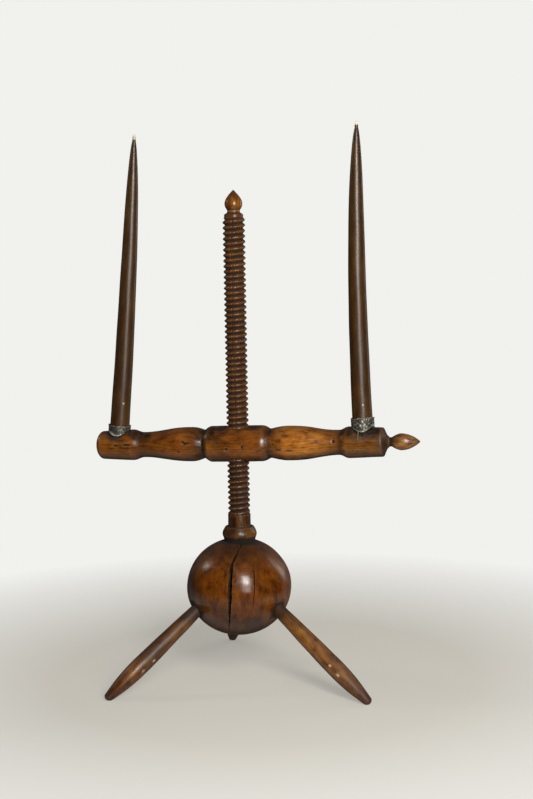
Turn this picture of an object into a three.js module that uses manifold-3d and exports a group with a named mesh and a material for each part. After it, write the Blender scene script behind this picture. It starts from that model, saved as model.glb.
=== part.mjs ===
// A turned wooden candlestick. A ball on three splayed legs carries a threaded post, and a cross arm
// with a metal cup near each end screws up and down the post. Millimetres, +Z up, feet on z = 0.

import * as THREE from "three";
import { mergeVertices } from "three/addons/utils/BufferGeometryUtils.js";
import Module from "manifold-3d";

const wasm = await Module();
wasm.setup();

// Clearances
const SEAT_GAP = 0.3; // between a piece and the face or bore that it seats on
const THREAD_PLAY = 0.45; // across the radius, between the post's thread and the arm's
const CANDLE_FIT = 0.35; // between a candle and the wall of its cup

// Ball: a little flatter than a sphere, with a flat on its crown for the post's collar
const BALL_RADIUS = 58.7;
const BALL_HALF_HEIGHT = 54.6;
const BALL_CENTRE_Z = 108.1;
const CROWN_FLAT_DROP = 2.7;
const POST_OFFSET_X = 1.6; // the post was bored a little off the ball's centre
const POST_OFFSET_Y = 0.5;

// Legs: hand-bored, so each has its own reach and bearing; a bearing is counted from +X
const FEET = [
  { name: "leg_left", reach: 160, bearing: -138.8 },
  { name: "leg_right", reach: 170.5, bearing: -21.4 },
  { name: "leg_rear", reach: 170.8, bearing: 109.1 },
];
const LEG_AIM_RISE = 19.2; // the bores point this far over the ball's centre
const LEG_TENON_DEPTH = 23;
const LEG_TENON_RADIUS = 6;
const LEG_NECK_RADIUS = 7.3;
const LEG_BELLY_RADIUS = 10;
const LEG_BELLY_SHARE = 0.67; // how far down the leg its belly is
const TOE_RADIUS = 5;
const TOE_LENGTH = 3.6;
const TOE_HEIGHT = 3.2; // the leg's axis ends this far over the floor, so the toe is worn flat

// Post: heights are counted from the flat on the ball
const POST_TENON_RADIUS = 9;
const POST_TENON_LENGTH = 35;
const COLLAR_FOOT_RADIUS = 17.5;
const COLLAR_FOOT_HEIGHT = 1.5;
const BEAD_RADIUS = 19.3;
const BEAD_RISE = 7;
const BEAD_FALL = 7.9;
const COLLAR_TOP_RADIUS = 15.8;
const COLLAR_COVE = 1.6;
const SHANK_TOP = 30;
const THREAD_TOP = 361;
const SHOULDER_LENGTH = 2.4;
const SHOULDER_RISE = 1.5;
const SHOULDER_FALL = 3.1;
const NECK_RADIUS = 7.05;
const NECK_LENGTH = 1.2;

// Thread: right-handed, one start, with 45 degree flanks
const PITCH = 6;
const CREST_RADIUS = 12.4;
const CREST_FLAT = 1;
const CREST_AT_FRONT = 3.79; // height of a crest on the +X side, less whole turns
const RUN_OUT = 5; // length over which the last crest is turned down to the shoulder
const ROOT_RADIUS = CREST_RADIUS - (PITCH - CREST_FLAT) / 2;
const SHANK_RADIUS = CREST_RADIUS + 0.2; // the plain shank under the thread
const SHOULDER_RADIUS = ROOT_RADIUS + 0.6; // the turned shoulder over the thread

// Post finial: an acorn whose belly is narrower than the arm's bore, so the arm can come off the top
const ACORN_RADIUS = ROOT_RADIUS - 0.05;
const ACORN_RISE = 6.6;
const ACORN_NOSE = 15.8;
const ACORN_NECK_LENGTH = 0.7;
const ACORN_SPIGOT_RADIUS = 3.2;
const ACORN_SPIGOT_LENGTH = 12;

// Arm: lengths run outwards from the post's axis, and the bore is a little off square
const ARM_HEIGHT = 109.9;
const ARM_TILT = 1.8;
const HUB_RADIUS = 20.15;
const ARM_LEFT = {
  hubHalf: 37.4,
  corner: 8.4,
  waistRadius: 15.8,
  waistLength: 0.4,
  bellyRise: 15,
  bellyRadius: 19.3,
  bellyLength: 4.2,
  neckRun: 53,
  neckRadius: 14.3,
  shoulderRun: 13,
  blockRadius: 17.5,
  blockLength: 35,
  endRadius: 15.9,
};
const ARM_RIGHT = {
  hubHalf: 37.5,
  corner: 9.5,
  waistRadius: 16.5,
  waistLength: 2.3,
  bellyRise: 20.2,
  bellyRadius: 19.25,
  bellyLength: 4,
  neckRun: 52,
  neckRadius: 13.85,
  shoulderRun: 11,
  blockRadius: 17.4,
  blockLength: 36.5,
  endRadius: 16.2,
};
const LEFT_DOME = 8.4; // length of the rounded left end
const RIGHT_ROUND = 2.2; // the right end is rounded over, then turned down to the finial's neck
const RIGHT_ROUND_RADIUS = 14.6;
const RIGHT_CONE = 3.3;
const RIGHT_CONE_RADIUS = 7.9;
const RIGHT_NECK = 3;

// Arm finial
const BUD_NECK_RADIUS = 5.1;
const BUD_NECK_LENGTH = 2.2;
const BUD_RADIUS = 9.2;
const BUD_RISE = 10.7;
const BUD_NOSE = 20.6;
const BUD_SPIGOT_RADIUS = 2.6;
const BUD_SPIGOT_LENGTH = 14;

// Holders: a cup stands on the bar's block with a candle in it, leaning by a few degrees
const HOLDERS = [
  {
    side: "left",
    alongBlock: 16.2, // from where the block starts to the cup's axis
    lean: 7.4,
    rimHeight: 6,
    sunk: 13.1,
    candleLength: 343,
    candleRadius: 11.2,
    taper: 0.3,
    tipPower: 5,
    bow: -5.5,
    wickLength: 2,
  },
  {
    side: "right",
    alongBlock: 15.8,
    lean: -0.8,
    rimHeight: 10.6,
    sunk: 15.4,
    candleLength: 341.5,
    candleRadius: 11.4,
    taper: 0.28,
    tipPower: 5.5,
    bow: 11,
    wickLength: 3,
  },
];
const CUP_WALL = 0.9;
const CUP_CORNER = 0.8;
const LIP_FLARE = 0.4;
const LIP_HEIGHT = 2.5;
const CANDLE_TIP_RADIUS = 1.9;
const CANDLE_FOOT_CHAMFER = 1;
const WICK_RADIUS = 0.8;
const WICK_DEPTH = 10;

// Facets
const TURNED_SIDES = 22;
const THREAD_SIDES = 16;
const FINIAL_SIDES = 16;
const CUP_SIDES = 18;
const LEG_SIDES = 12;
const CANDLE_SIDES = 14;
const SMALL_SIDES = 10;
const BALL_RINGS = 16;
const CANDLE_RINGS = 11;
const MERGE = 1e-4;
const OVERSHOOT = 5; // how far a cutter runs past what it cuts
const INSET = 1; // how far a hidden end or core lies inside what covers it

const degrees = THREE.MathUtils.degToRad;

// Shapes that an outline can follow between two radii: each gives [share of length, share of change]
const straight = (u) => [u, u];
const rise = (u) => [u, Math.sin((Math.PI / 2) * u)];
const fall = (u) => [u, 1 - Math.cos((Math.PI / 2) * u)];
const ogee = (u) => [u, (1 - Math.cos(Math.PI * u)) / 2];
const swell = (u) => [1 - Math.cos((Math.PI / 2) * u), Math.sin((Math.PI / 2) * u)];
const tuck = (u) => [Math.sin((Math.PI / 2) * u), 1 - Math.cos((Math.PI / 2) * u)];
const nose = (u) => [u, 1 - Math.cos((Math.PI / 2) * u) ** 0.8];
const widen = (u) => [u, 1 - (1 - u) ** 1.4];

// An outline for the lathe. It starts at a station on the axis and moves on by lengths.
class Outline {
  constructor(station, radius) {
    this.points = [new THREE.Vector2(radius, station)];
  }

  on(length, radius, shape = straight, steps = 1) {
    const from = this.points.at(-1);
    for (let i = 1; i <= steps; i++) {
      const [along, across] = shape(i / steps);
      const point = new THREE.Vector2(from.x + (radius - from.x) * across, from.y + length * along);
      this.points.push(point);
    }
    return this;
  }
}

// Turns an outline round +Z. Its ends are closed to the axis.
function turned(points, sides = TURNED_SIDES) {
  const first = new THREE.Vector2(0, points[0].y);
  const last = new THREE.Vector2(0, points.at(-1).y);
  const closed = [first, ...points.filter((point) => point.x > MERGE), last];
  return new THREE.LatheGeometry(closed, sides).rotateX(Math.PI / 2);
}

function rod(radius, low, high, sides = TURNED_SIDES) {
  return turned(new Outline(low, radius).on(high - low, radius).points, sides);
}

function solidOf(geometry) {
  geometry.deleteAttribute("normal");
  geometry.deleteAttribute("uv");
  const merged = mergeVertices(geometry, MERGE);
  const corners = merged.index.array;
  const triangles = [];
  for (let i = 0; i < corners.length; i += 3) {
    const [a, b, c] = corners.slice(i, i + 3);
    if (a !== b && b !== c && c !== a) triangles.push(a, b, c);
  }
  const vertProperties = merged.attributes.position.array;
  return new wasm.Manifold(
    new wasm.Mesh({ numProp: 3, vertProperties, triVerts: new Uint32Array(triangles) }),
  );
}

function pieceOf(name, solid, look) {
  const { vertProperties, triVerts } = solid.getMesh();
  const geometry = new THREE.BufferGeometry();
  geometry.setAttribute("position", new THREE.BufferAttribute(vertProperties, 3));
  geometry.setIndex(new THREE.BufferAttribute(triVerts, 1));
  geometry.computeVertexNormals();
  const piece = new THREE.Mesh(geometry, new THREE.MeshStandardMaterial(look));
  piece.name = name;
  return piece;
}

// A group that carries pieces in a frame of their own.
function frameIn(parent, position, turn = new THREE.Quaternion()) {
  const frame = new THREE.Group();
  frame.position.copy(position);
  frame.quaternion.copy(turn);
  parent.add(frame);
  frame.updateWorldMatrix(true, false);
  return frame;
}

// Gives a geometry drawn in one frame the coordinates of another.
function carried(geometry, from, to) {
  const move = to.matrixWorld.clone().invert().multiply(from.matrixWorld);
  return geometry.applyMatrix4(move);
}

const turnAboutY = (angle) =>
  new THREE.Quaternion().setFromAxisAngle(new THREE.Vector3(0, 1, 0), degrees(angle));

const HONEY_WOOD = { color: 0x6b3c17, roughness: 0.36, metalness: 0 };
const RED_WOOD = { color: 0x4c2812, roughness: 0.34, metalness: 0 };
const WORN_WOOD = { color: 0x5d3a1c, roughness: 0.48, metalness: 0 };
const CUP_METAL = { color: 0x55524c, roughness: 0.5, metalness: 0.8 };
const CANDLE_WAX = { color: 0x33211d, roughness: 0.5, metalness: 0 };
const WICK_COTTON = { color: 0xcdbfa5, roughness: 0.9, metalness: 0 };

const candlestick = new THREE.Group();
const floor = frameIn(candlestick, new THREE.Vector3());
const ballFrame = frameIn(floor, new THREE.Vector3(0, 0, BALL_CENTRE_Z));
const crownFlat = BALL_HALF_HEIGHT - CROWN_FLAT_DROP;
const postSeat = new THREE.Vector3(POST_OFFSET_X, POST_OFFSET_Y, crownFlat);
const postFrame = frameIn(ballFrame, postSeat);
const armFrame = frameIn(postFrame, new THREE.Vector3(0, 0, ARM_HEIGHT), turnAboutY(-ARM_TILT));

// Leg

// How far from the legs' aim a leg leaves the ball.
function ballExit(direction) {
  const across = Math.hypot(direction.x, direction.y) / BALL_RADIUS;
  const down = direction.z / BALL_HALF_HEIGHT;
  const start = LEG_AIM_RISE / BALL_HALF_HEIGHT;
  const a = across ** 2 + down ** 2;
  const b = start * down;
  const c = start ** 2 - 1;
  return (Math.sqrt(b ** 2 - a * c) - b) / a;
}

function legOutline(leg, grow) {
  const visible = leg.length - leg.exit;
  return new Outline(leg.exit - LEG_TENON_DEPTH - grow, LEG_TENON_RADIUS + grow)
    .on(LEG_TENON_DEPTH + grow, LEG_NECK_RADIUS + grow)
    .on(visible * LEG_BELLY_SHARE, LEG_BELLY_RADIUS + grow, widen, 5)
    .on(visible * (1 - LEG_BELLY_SHARE), TOE_RADIUS + grow, fall, 6)
    .on(TOE_LENGTH, 0, tuck, 3).points;
}

// A leg's frame looks from the aim point over the ball's centre down to the toe.
function legOf({ name, reach, bearing }) {
  const aim = new THREE.Vector3(0, 0, LEG_AIM_RISE);
  const angle = degrees(bearing);
  const toeZ = TOE_HEIGHT - BALL_CENTRE_Z;
  const toe = new THREE.Vector3(reach * Math.cos(angle), reach * Math.sin(angle), toeZ);
  const direction = toe.clone().sub(aim).normalize();
  const turn = new THREE.Quaternion().setFromUnitVectors(new THREE.Vector3(0, 0, 1), direction);
  const frame = frameIn(ballFrame, aim, turn);
  return { name, frame, length: toe.distanceTo(aim), exit: ballExit(direction) };
}

function legPiece(leg) {
  const size = 4 * TOE_RADIUS;
  const under = new THREE.BoxGeometry(size, size, size);
  under.translate(0, 0, -size / 2);
  const toe = new THREE.Vector3(0, 0, leg.length).applyMatrix4(leg.frame.matrixWorld);
  under.translate(toe.x, toe.y, 0);
  const whole = solidOf(turned(legOutline(leg, 0), LEG_SIDES));
  return pieceOf(leg.name, whole.subtract(solidOf(carried(under, floor, leg.frame))), RED_WOOD);
}

// Ball: bored for the post's tenon and the three legs
function ballPiece(legs) {
  const top = Math.asin(crownFlat / BALL_HALF_HEIGHT);
  const arc = new THREE.EllipseCurve(0, 0, BALL_RADIUS, BALL_HALF_HEIGHT, -Math.PI / 2, top);
  let solid = solidOf(turned(arc.getPoints(BALL_RINGS), TURNED_SIDES));
  const boreFloor = -POST_TENON_LENGTH - SEAT_GAP;
  const bore = rod(POST_TENON_RADIUS + SEAT_GAP, boreFloor, OVERSHOOT);
  solid = solid.subtract(solidOf(carried(bore, postFrame, ballFrame)));
  for (const leg of legs) {
    const socket = turned(legOutline(leg, SEAT_GAP), LEG_SIDES);
    solid = solid.subtract(solidOf(carried(socket, leg.frame, ballFrame)));
  }
  return pieceOf("ball", solid, HONEY_WOOD);
}

// Thread

// A threaded rod. A row of points runs once round and climbs one pitch, so it ends where the row a
// turn higher begins. Every turn has three rows: the crest's two edges and the root.
function threadedRod(low, high, play) {
  const rows = [
    { lift: -CREST_FLAT / 2, radius: CREST_RADIUS + play },
    { lift: CREST_FLAT / 2, radius: CREST_RADIUS + play },
    { lift: PITCH / 2, radius: ROOT_RADIUS + play },
  ];
  const start = CREST_AT_FRONT + PITCH * Math.floor((low - CREST_AT_FRONT) / PITCH);
  const turns = Math.ceil((high - start) / PITCH);
  const lastRow = turns * rows.length;
  const points = [];
  for (let row = 0; row <= lastRow + rows.length; row++) {
    const { lift, radius } = rows[row % rows.length];
    for (let step = 0; step < THREAD_SIDES; step++) {
      const turn = step / THREAD_SIDES;
      const angle = 2 * Math.PI * turn;
      const climbed = Math.floor(row / rows.length) + turn;
      points.push(radius * Math.cos(angle), radius * Math.sin(angle));
      points.push(start + lift + PITCH * climbed);
    }
  }
  const at = (row, step) =>
    step === THREAD_SIDES ? at(row + rows.length, 0) : row * THREAD_SIDES + step;
  const faces = [];
  for (let row = 0; row < lastRow; row++) {
    for (let step = 0; step < THREAD_SIDES; step++) {
      faces.push(at(row, step), at(row, step + 1), at(row + 1, step + 1));
      faces.push(at(row, step), at(row + 1, step + 1), at(row + 1, step));
    }
  }
  const bottom = points.length / 3;
  const top = bottom + 1;
  points.push(0, 0, start - PITCH / 2);
  points.push(0, 0, start + PITCH * (turns + 1.5));
  for (let step = 0; step < THREAD_SIDES; step++) {
    faces.push(bottom, at(0, step + 1), at(0, step));
    faces.push(top, at(lastRow, step), at(lastRow, step + 1));
  }
  for (let row = 0; row < rows.length; row++) {
    faces.push(bottom, at(row, 0), at(row + 1, 0));
    faces.push(top, at(lastRow + row + 1, 0), at(lastRow + row, 0));
  }
  const geometry = new THREE.BufferGeometry();
  geometry.setAttribute("position", new THREE.Float32BufferAttribute(points, 3));
  geometry.setIndex(faces);
  return geometry;
}

// Post
const postTop = THREAD_TOP + SHOULDER_LENGTH + SHOULDER_FALL + NECK_LENGTH;

function postPiece() {
  const foot = new Outline(-POST_TENON_LENGTH, POST_TENON_RADIUS)
    .on(POST_TENON_LENGTH + SEAT_GAP, POST_TENON_RADIUS)
    .on(0, COLLAR_FOOT_RADIUS)
    .on(COLLAR_FOOT_HEIGHT - SEAT_GAP, COLLAR_FOOT_RADIUS)
    .on(BEAD_RISE, BEAD_RADIUS, ogee, 5)
    .on(BEAD_FALL, COLLAR_TOP_RADIUS, fall, 5)
    .on(COLLAR_COVE, SHANK_RADIUS, swell, 3);
  const cutDepth = SHANK_RADIUS - ROOT_RADIUS + INSET;
  foot.on(SHANK_TOP - foot.points.at(-1).y, SHANK_RADIUS).on(cutDepth, SHANK_RADIUS - cutDepth);
  const head = new Outline(THREAD_TOP - 2 * PITCH, ROOT_RADIUS - INSET)
    .on(2 * PITCH - SHOULDER_RISE, ROOT_RADIUS - INSET)
    .on(SHOULDER_RISE, SHOULDER_RADIUS)
    .on(SHOULDER_LENGTH, SHOULDER_RADIUS)
    .on(SHOULDER_FALL, NECK_RADIUS, ogee, 4)
    .on(NECK_LENGTH, NECK_RADIUS);
  const limit = new Outline(SHANK_TOP - OVERSHOOT, CREST_RADIUS + INSET)
    .on(THREAD_TOP - RUN_OUT - SHANK_TOP + OVERSHOOT, CREST_RADIUS + INSET)
    .on(RUN_OUT, SHOULDER_RADIUS);
  const thread = solidOf(threadedRod(SHANK_TOP - OVERSHOOT, THREAD_TOP + PITCH, 0))
    .intersect(solidOf(turned(limit.points)));
  const boreFloor = postTop - ACORN_SPIGOT_LENGTH - SEAT_GAP;
  const bore = rod(ACORN_SPIGOT_RADIUS + SEAT_GAP, boreFloor, postTop + OVERSHOOT, SMALL_SIDES);
  const solid = solidOf(turned(foot.points))
    .add(thread)
    .add(solidOf(turned(head.points)))
    .subtract(solidOf(bore));
  return pieceOf("screw_post", solid, WORN_WOOD);
}

function postFinialPiece() {
  const spigot = rod(ACORN_SPIGOT_RADIUS, -ACORN_SPIGOT_LENGTH, ACORN_NECK_LENGTH, SMALL_SIDES);
  const acorn = new Outline(SEAT_GAP, NECK_RADIUS)
    .on(ACORN_NECK_LENGTH, NECK_RADIUS)
    .on(ACORN_RISE, ACORN_RADIUS, rise, 3)
    .on(ACORN_NOSE, 0, fall, 7);
  const solid = solidOf(turned(acorn.points, FINIAL_SIDES)).add(solidOf(spigot));
  const piece = pieceOf("post_finial", solid, HONEY_WOOD);
  piece.position.z = postTop;
  return piece;
}

// Arm

// One side of the bar, from the post's axis out to the end of the block.
function armSide(side) {
  return new Outline(0, HUB_RADIUS)
    .on(side.hubHalf - side.corner, HUB_RADIUS)
    .on(side.corner, side.waistRadius, fall, 3)
    .on(side.waistLength, side.waistRadius)
    .on(side.bellyRise, side.bellyRadius, rise, 3)
    .on(side.bellyLength, side.bellyRadius)
    .on(side.neckRun, side.neckRadius, ogee, 6)
    .on(side.shoulderRun, side.blockRadius, ogee, 3)
    .on(side.blockLength, side.endRadius);
}

const blockStart = (side) =>
  side.hubHalf + side.waistLength + side.bellyRise + side.bellyLength + side.neckRun + side.shoulderRun;

const armEnd =
  blockStart(ARM_RIGHT) + ARM_RIGHT.blockLength + RIGHT_ROUND + RIGHT_CONE + RIGHT_NECK;

// The bar, turned along +X
function barGeometry() {
  const left = armSide(ARM_LEFT).on(LEFT_DOME, 0, tuck, 4).points;
  const mirrored = left.map((point) => new THREE.Vector2(point.x, -point.y)).reverse();
  const right = armSide(ARM_RIGHT)
    .on(RIGHT_ROUND, RIGHT_ROUND_RADIUS, tuck, 2)
    .on(RIGHT_CONE, RIGHT_CONE_RADIUS)
    .on(RIGHT_NECK, BUD_NECK_RADIUS).points;
  return turned([...mirrored.slice(0, -1), ...right.slice(1)]).rotateY(Math.PI / 2);
}

function armPiece(holders) {
  const reach = HUB_RADIUS + PITCH;
  const screw = threadedRod(ARM_HEIGHT - reach, ARM_HEIGHT + reach, THREAD_PLAY);
  const boreRadius = BUD_SPIGOT_RADIUS + SEAT_GAP;
  const boreFloor = armEnd - BUD_SPIGOT_LENGTH - SEAT_GAP;
  const endBore = rod(boreRadius, boreFloor, armEnd + OVERSHOOT, SMALL_SIDES).rotateY(Math.PI / 2);
  let solid = solidOf(barGeometry())
    .subtract(solidOf(carried(screw, postFrame, armFrame)))
    .subtract(solidOf(endBore));
  for (const holder of holders) {
    const socketFloor = -holder.cupDepth - SEAT_GAP;
    const socket = rod(holder.cupRadius + SEAT_GAP, socketFloor, OVERSHOOT, CUP_SIDES);
    solid = solid.subtract(solidOf(carried(socket, holder.frame, armFrame)));
  }
  return pieceOf("cross_arm", solid, HONEY_WOOD);
}

function armFinialPiece() {
  const spigot = rod(BUD_SPIGOT_RADIUS, -BUD_SPIGOT_LENGTH, BUD_NECK_LENGTH, SMALL_SIDES);
  const bud = new Outline(SEAT_GAP, BUD_NECK_RADIUS)
    .on(BUD_NECK_LENGTH, BUD_NECK_RADIUS)
    .on(BUD_RISE, BUD_RADIUS, rise, 4)
    .on(BUD_NOSE, 0, nose, 7);
  const solid = solidOf(turned(bud.points, FINIAL_SIDES)).add(solidOf(spigot));
  const piece = pieceOf("arm_finial", solid, HONEY_WOOD);
  piece.position.x = armEnd;
  piece.rotation.y = Math.PI / 2;
  return piece;
}

// Cup, candle and wick: heights are counted from the top of the block, along the cup's axis

function holderOf(holder) {
  const side = holder.side === "left" ? ARM_LEFT : ARM_RIGHT;
  const station = blockStart(side) + holder.alongBlock;
  const share = holder.alongBlock / side.blockLength;
  const blockTop = side.blockRadius + (side.endRadius - side.blockRadius) * share;
  const sign = holder.side === "left" ? -1 : 1;
  const place = new THREE.Vector3(sign * station, 0, blockTop);
  const boreRadius = holder.candleRadius + CANDLE_FIT;
  const frame = frameIn(armFrame, place, turnAboutY(holder.lean));
  const tip = holder.candleLength - holder.sunk;
  const rimToTip = tip - holder.rimHeight;
  const tipTurn = THREE.MathUtils.radToDeg(Math.atan((2 * holder.bow) / rimToTip));
  const wickFrame = frameIn(frame, new THREE.Vector3(holder.bow, 0, tip), turnAboutY(tipTurn));
  return {
    ...holder,
    frame,
    wickFrame,
    rimToTip,
    boreRadius,
    cupRadius: boreRadius + CUP_WALL,
    cupDepth: holder.sunk + SEAT_GAP + CUP_WALL,
  };
}

function cupPiece(holder) {
  const { cupRadius, boreRadius, cupDepth, rimHeight } = holder;
  const tube = new Outline(-cupDepth, cupRadius - CUP_CORNER)
    .on(CUP_CORNER, cupRadius, swell, 2)
    .on(cupDepth - CUP_CORNER + rimHeight - LIP_HEIGHT, cupRadius)
    .on(LIP_HEIGHT, cupRadius + LIP_FLARE, fall, 2);
  const hollow = new Outline(CUP_WALL - cupDepth, boreRadius)
    .on(cupDepth - CUP_WALL + rimHeight - LIP_HEIGHT, boreRadius)
    .on(LIP_HEIGHT, boreRadius + LIP_FLARE, fall, 2)
    .on(OVERSHOOT, boreRadius + LIP_FLARE);
  const hole = solidOf(turned(hollow.points, CUP_SIDES));
  const solid = solidOf(turned(tube.points, CUP_SIDES)).subtract(hole);
  return pieceOf("candle_cup_" + holder.side, solid, CUP_METAL);
}

// A dipped taper: it narrows evenly and rounds in to a blunt tip, and is bowed above the cup's rim.
function candlePiece(holder) {
  const footRadius = holder.candleRadius - CANDLE_FOOT_CHAMFER;
  const outline = new Outline(-holder.sunk, footRadius);
  outline.on(CANDLE_FOOT_CHAMFER, holder.candleRadius);
  for (let ring = 1; ring <= CANDLE_RINGS; ring++) {
    const share = Math.sin((Math.PI / 2) * (ring / CANDLE_RINGS));
    const narrowed = holder.candleRadius * (1 - holder.taper * share);
    const radius = narrowed * Math.sqrt(1 - share ** holder.tipPower);
    const height = holder.candleLength * share - holder.sunk;
    const from = outline.points.at(-1);
    outline.on(height - from.y, Math.max(radius, CANDLE_TIP_RADIUS));
  }
  const geometry = turned(outline.points, CANDLE_SIDES);
  const places = geometry.attributes.position;
  for (let i = 0; i < places.count; i++) {
    const share = Math.max(0, places.getZ(i) - holder.rimHeight) / holder.rimToTip;
    places.setX(i, places.getX(i) + holder.bow * share ** 2);
  }
  const hole = rod(WICK_RADIUS + SEAT_GAP, -WICK_DEPTH - SEAT_GAP, OVERSHOOT, SMALL_SIDES);
  const solid = solidOf(geometry)
    .subtract(solidOf(carried(hole, holder.wickFrame, holder.frame)));
  return pieceOf("candle_" + holder.side, solid, CANDLE_WAX);
}

function wickPiece(holder) {
  const wick = new Outline(-WICK_DEPTH, WICK_RADIUS)
    .on(WICK_DEPTH + holder.wickLength, WICK_RADIUS)
    .on(WICK_RADIUS / 2, WICK_RADIUS / 2);
  return pieceOf("wick_" + holder.side, solidOf(turned(wick.points, SMALL_SIDES)), WICK_COTTON);
}

const legs = FEET.map(legOf);
for (const leg of legs) leg.frame.add(legPiece(leg));
ballFrame.add(ballPiece(legs));
postFrame.add(postPiece());
postFrame.add(postFinialPiece());

const holders = HOLDERS.map(holderOf);
armFrame.add(armPiece(holders));
armFrame.add(armFinialPiece());
for (const holder of holders) {
  holder.frame.add(cupPiece(holder));
  holder.frame.add(candlePiece(holder));
  holder.wickFrame.add(wickPiece(holder));
}

// The origin is the middle of the footprint of the whole piece, at floor level.
const box = new THREE.Box3().setFromObject(candlestick, true);
const middle = box.getCenter(new THREE.Vector3());
floor.position.set(-middle.x, -middle.y, 0);

export default candlestick;
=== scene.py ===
"""An old turned wooden candlestick: a ball on three splayed legs carries a threaded post, and a cross arm
with a metal cup near each end screws up and down it. Blender 4.5, metres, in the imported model's frame."""

import functools
from math import asin, atan, atan2, ceil, cos, degrees, floor, hypot, pi, radians, sin, sqrt, tau

import bpy
import numpy as np
from mathutils import Matrix, Vector, noise


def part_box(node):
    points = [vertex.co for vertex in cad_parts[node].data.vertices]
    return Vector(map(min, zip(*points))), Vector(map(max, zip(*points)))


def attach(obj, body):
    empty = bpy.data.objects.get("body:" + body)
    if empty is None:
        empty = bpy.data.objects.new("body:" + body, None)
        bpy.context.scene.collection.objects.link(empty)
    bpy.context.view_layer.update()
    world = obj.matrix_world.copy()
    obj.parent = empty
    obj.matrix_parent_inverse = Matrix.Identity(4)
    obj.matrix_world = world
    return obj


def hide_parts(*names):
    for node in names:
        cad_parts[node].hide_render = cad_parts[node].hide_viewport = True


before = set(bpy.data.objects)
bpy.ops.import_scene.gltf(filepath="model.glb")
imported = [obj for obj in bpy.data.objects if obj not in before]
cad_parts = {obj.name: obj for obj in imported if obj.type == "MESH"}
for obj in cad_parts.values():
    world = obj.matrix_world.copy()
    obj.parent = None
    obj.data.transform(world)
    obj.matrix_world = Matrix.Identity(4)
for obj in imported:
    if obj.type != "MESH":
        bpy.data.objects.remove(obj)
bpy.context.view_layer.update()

# Sizes of the solids, in millimetres. Heights on the post are counted from its seat on the ball.
MM = 0.001
SEAT_GAP = 0.3
SHUT_SEAM = 0.05  # what shows of the gap under each finial
THREAD_PLAY = 0.45
CANDLE_FIT = 0.35
BALL_RADIUS, BALL_HALF_HEIGHT, CROWN_FLAT_DROP = 58.7, 54.6, 2.7
POST_OFFSET_X, POST_OFFSET_Y = 1.6, 0.5  # from the ball's centre
FEET = {"leg_left": (160, -138.8), "leg_right": (170.5, -21.4), "leg_rear": (170.8, 109.1)}
LEG_AIM_RISE, LEG_TENON_DEPTH = 19.2, 23
LEG_TENON_RADIUS, LEG_NECK_RADIUS, LEG_BELLY_RADIUS, LEG_BELLY_SHARE = 6, 7.3, 10, 0.67
TOE_RADIUS, TOE_LENGTH, TOE_HEIGHT = 5, 3.6, 3.2
POST_TENON_RADIUS, POST_TENON_LENGTH = 9, 35
COLLAR_FOOT_RADIUS, COLLAR_FOOT_HEIGHT = 17.5, 1.5
BEAD_RADIUS, BEAD_RISE, BEAD_FALL = 19.3, 7, 7.9
COLLAR_TOP_RADIUS, COLLAR_COVE, SHANK_RADIUS, SHANK_TOP = 15.8, 1.6, 12.6, 30
THREAD_TOP, RUN_IN, RUN_OUT = 361, 4, 5
SHOULDER_RADIUS, SHOULDER_LENGTH, SHOULDER_RISE, SHOULDER_FALL = 10.5, 2.4, 1.5, 3.1
NECK_RADIUS, NECK_LENGTH = 7.05, 1.2
PITCH, CREST_RADIUS, CREST_FLAT, CREST_AT_FRONT = 6, 12.4, 1, 3.79
ROOT_RADIUS = CREST_RADIUS - (PITCH - CREST_FLAT) / 2
ACORN_RADIUS, ACORN_RISE, ACORN_NOSE, ACORN_NECK_LENGTH = 9.85, 6.6, 15.8, 0.7
ACORN_SPIGOT_RADIUS, ACORN_SPIGOT_LENGTH = 3.2, 12
ARM_HEIGHT, ARM_TILT, HUB_RADIUS = 109.9, 1.8, 20.15
ARM_LEFT = dict(
    hub_half=37.4, corner=8.4, waist_radius=15.8, waist_length=0.4, belly_rise=15, belly_radius=19.3,
    belly_length=4.2, neck_run=53, neck_radius=14.3, shoulder_run=13, block_radius=17.5,
    block_length=35, end_radius=15.9,
)
ARM_RIGHT = dict(
    hub_half=37.5, corner=9.5, waist_radius=16.5, waist_length=2.3, belly_rise=20.2, belly_radius=19.25,
    belly_length=4, neck_run=52, neck_radius=13.85, shoulder_run=11, block_radius=17.4,
    block_length=36.5, end_radius=16.2,
)
LEFT_DOME = 8.4
RIGHT_ROUND, RIGHT_ROUND_RADIUS, RIGHT_CONE, RIGHT_CONE_RADIUS, RIGHT_NECK = 2.2, 14.6, 3.3, 7.9, 3
BUD_NECK_RADIUS, BUD_NECK_LENGTH, BUD_RADIUS, BUD_RISE, BUD_NOSE = 5.1, 2.2, 9.2, 10.7, 20.6
BUD_SPIGOT_RADIUS, BUD_SPIGOT_LENGTH = 2.6, 14
LEFT_HOLDER = dict(
    side="left", along_block=16.2, lean=7.4, rim_height=6, sunk=13.1, candle_length=343,
    candle_radius=11.2, taper=0.3, tip_power=5, bow=-5.5, wick_length=2,
    pale_tip=3.4, drop_station=32.3, drop_bearing=-58,
)
RIGHT_HOLDER = dict(
    side="right", along_block=15.8, lean=-0.8, rim_height=10.6, sunk=15.4, candle_length=341.5,
    candle_radius=11.4, taper=0.28, tip_power=5.5, bow=11, wick_length=3,
    pale_tip=1.2, drop_station=25.1, drop_bearing=-72,
)
CUP_WALL, CUP_CORNER, LIP_FLARE, LIP_HEIGHT = 0.9, 0.8, 0.2, 2.5
EDGE_WIDTH = 1.1  # of the painted highlight line, partly a scraped bright edge, at a cup's lower edge
CANDLE_TIP_RADIUS, CANDLE_FOOT_CHAMFER, CANDLE_RINGS = 1.9, 1, 90
WICK_RADIUS, WICK_DEPTH = 0.8, 10
WICK_FRAYED_RADIUS = 1.5  # where it stands out of the wax

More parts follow.
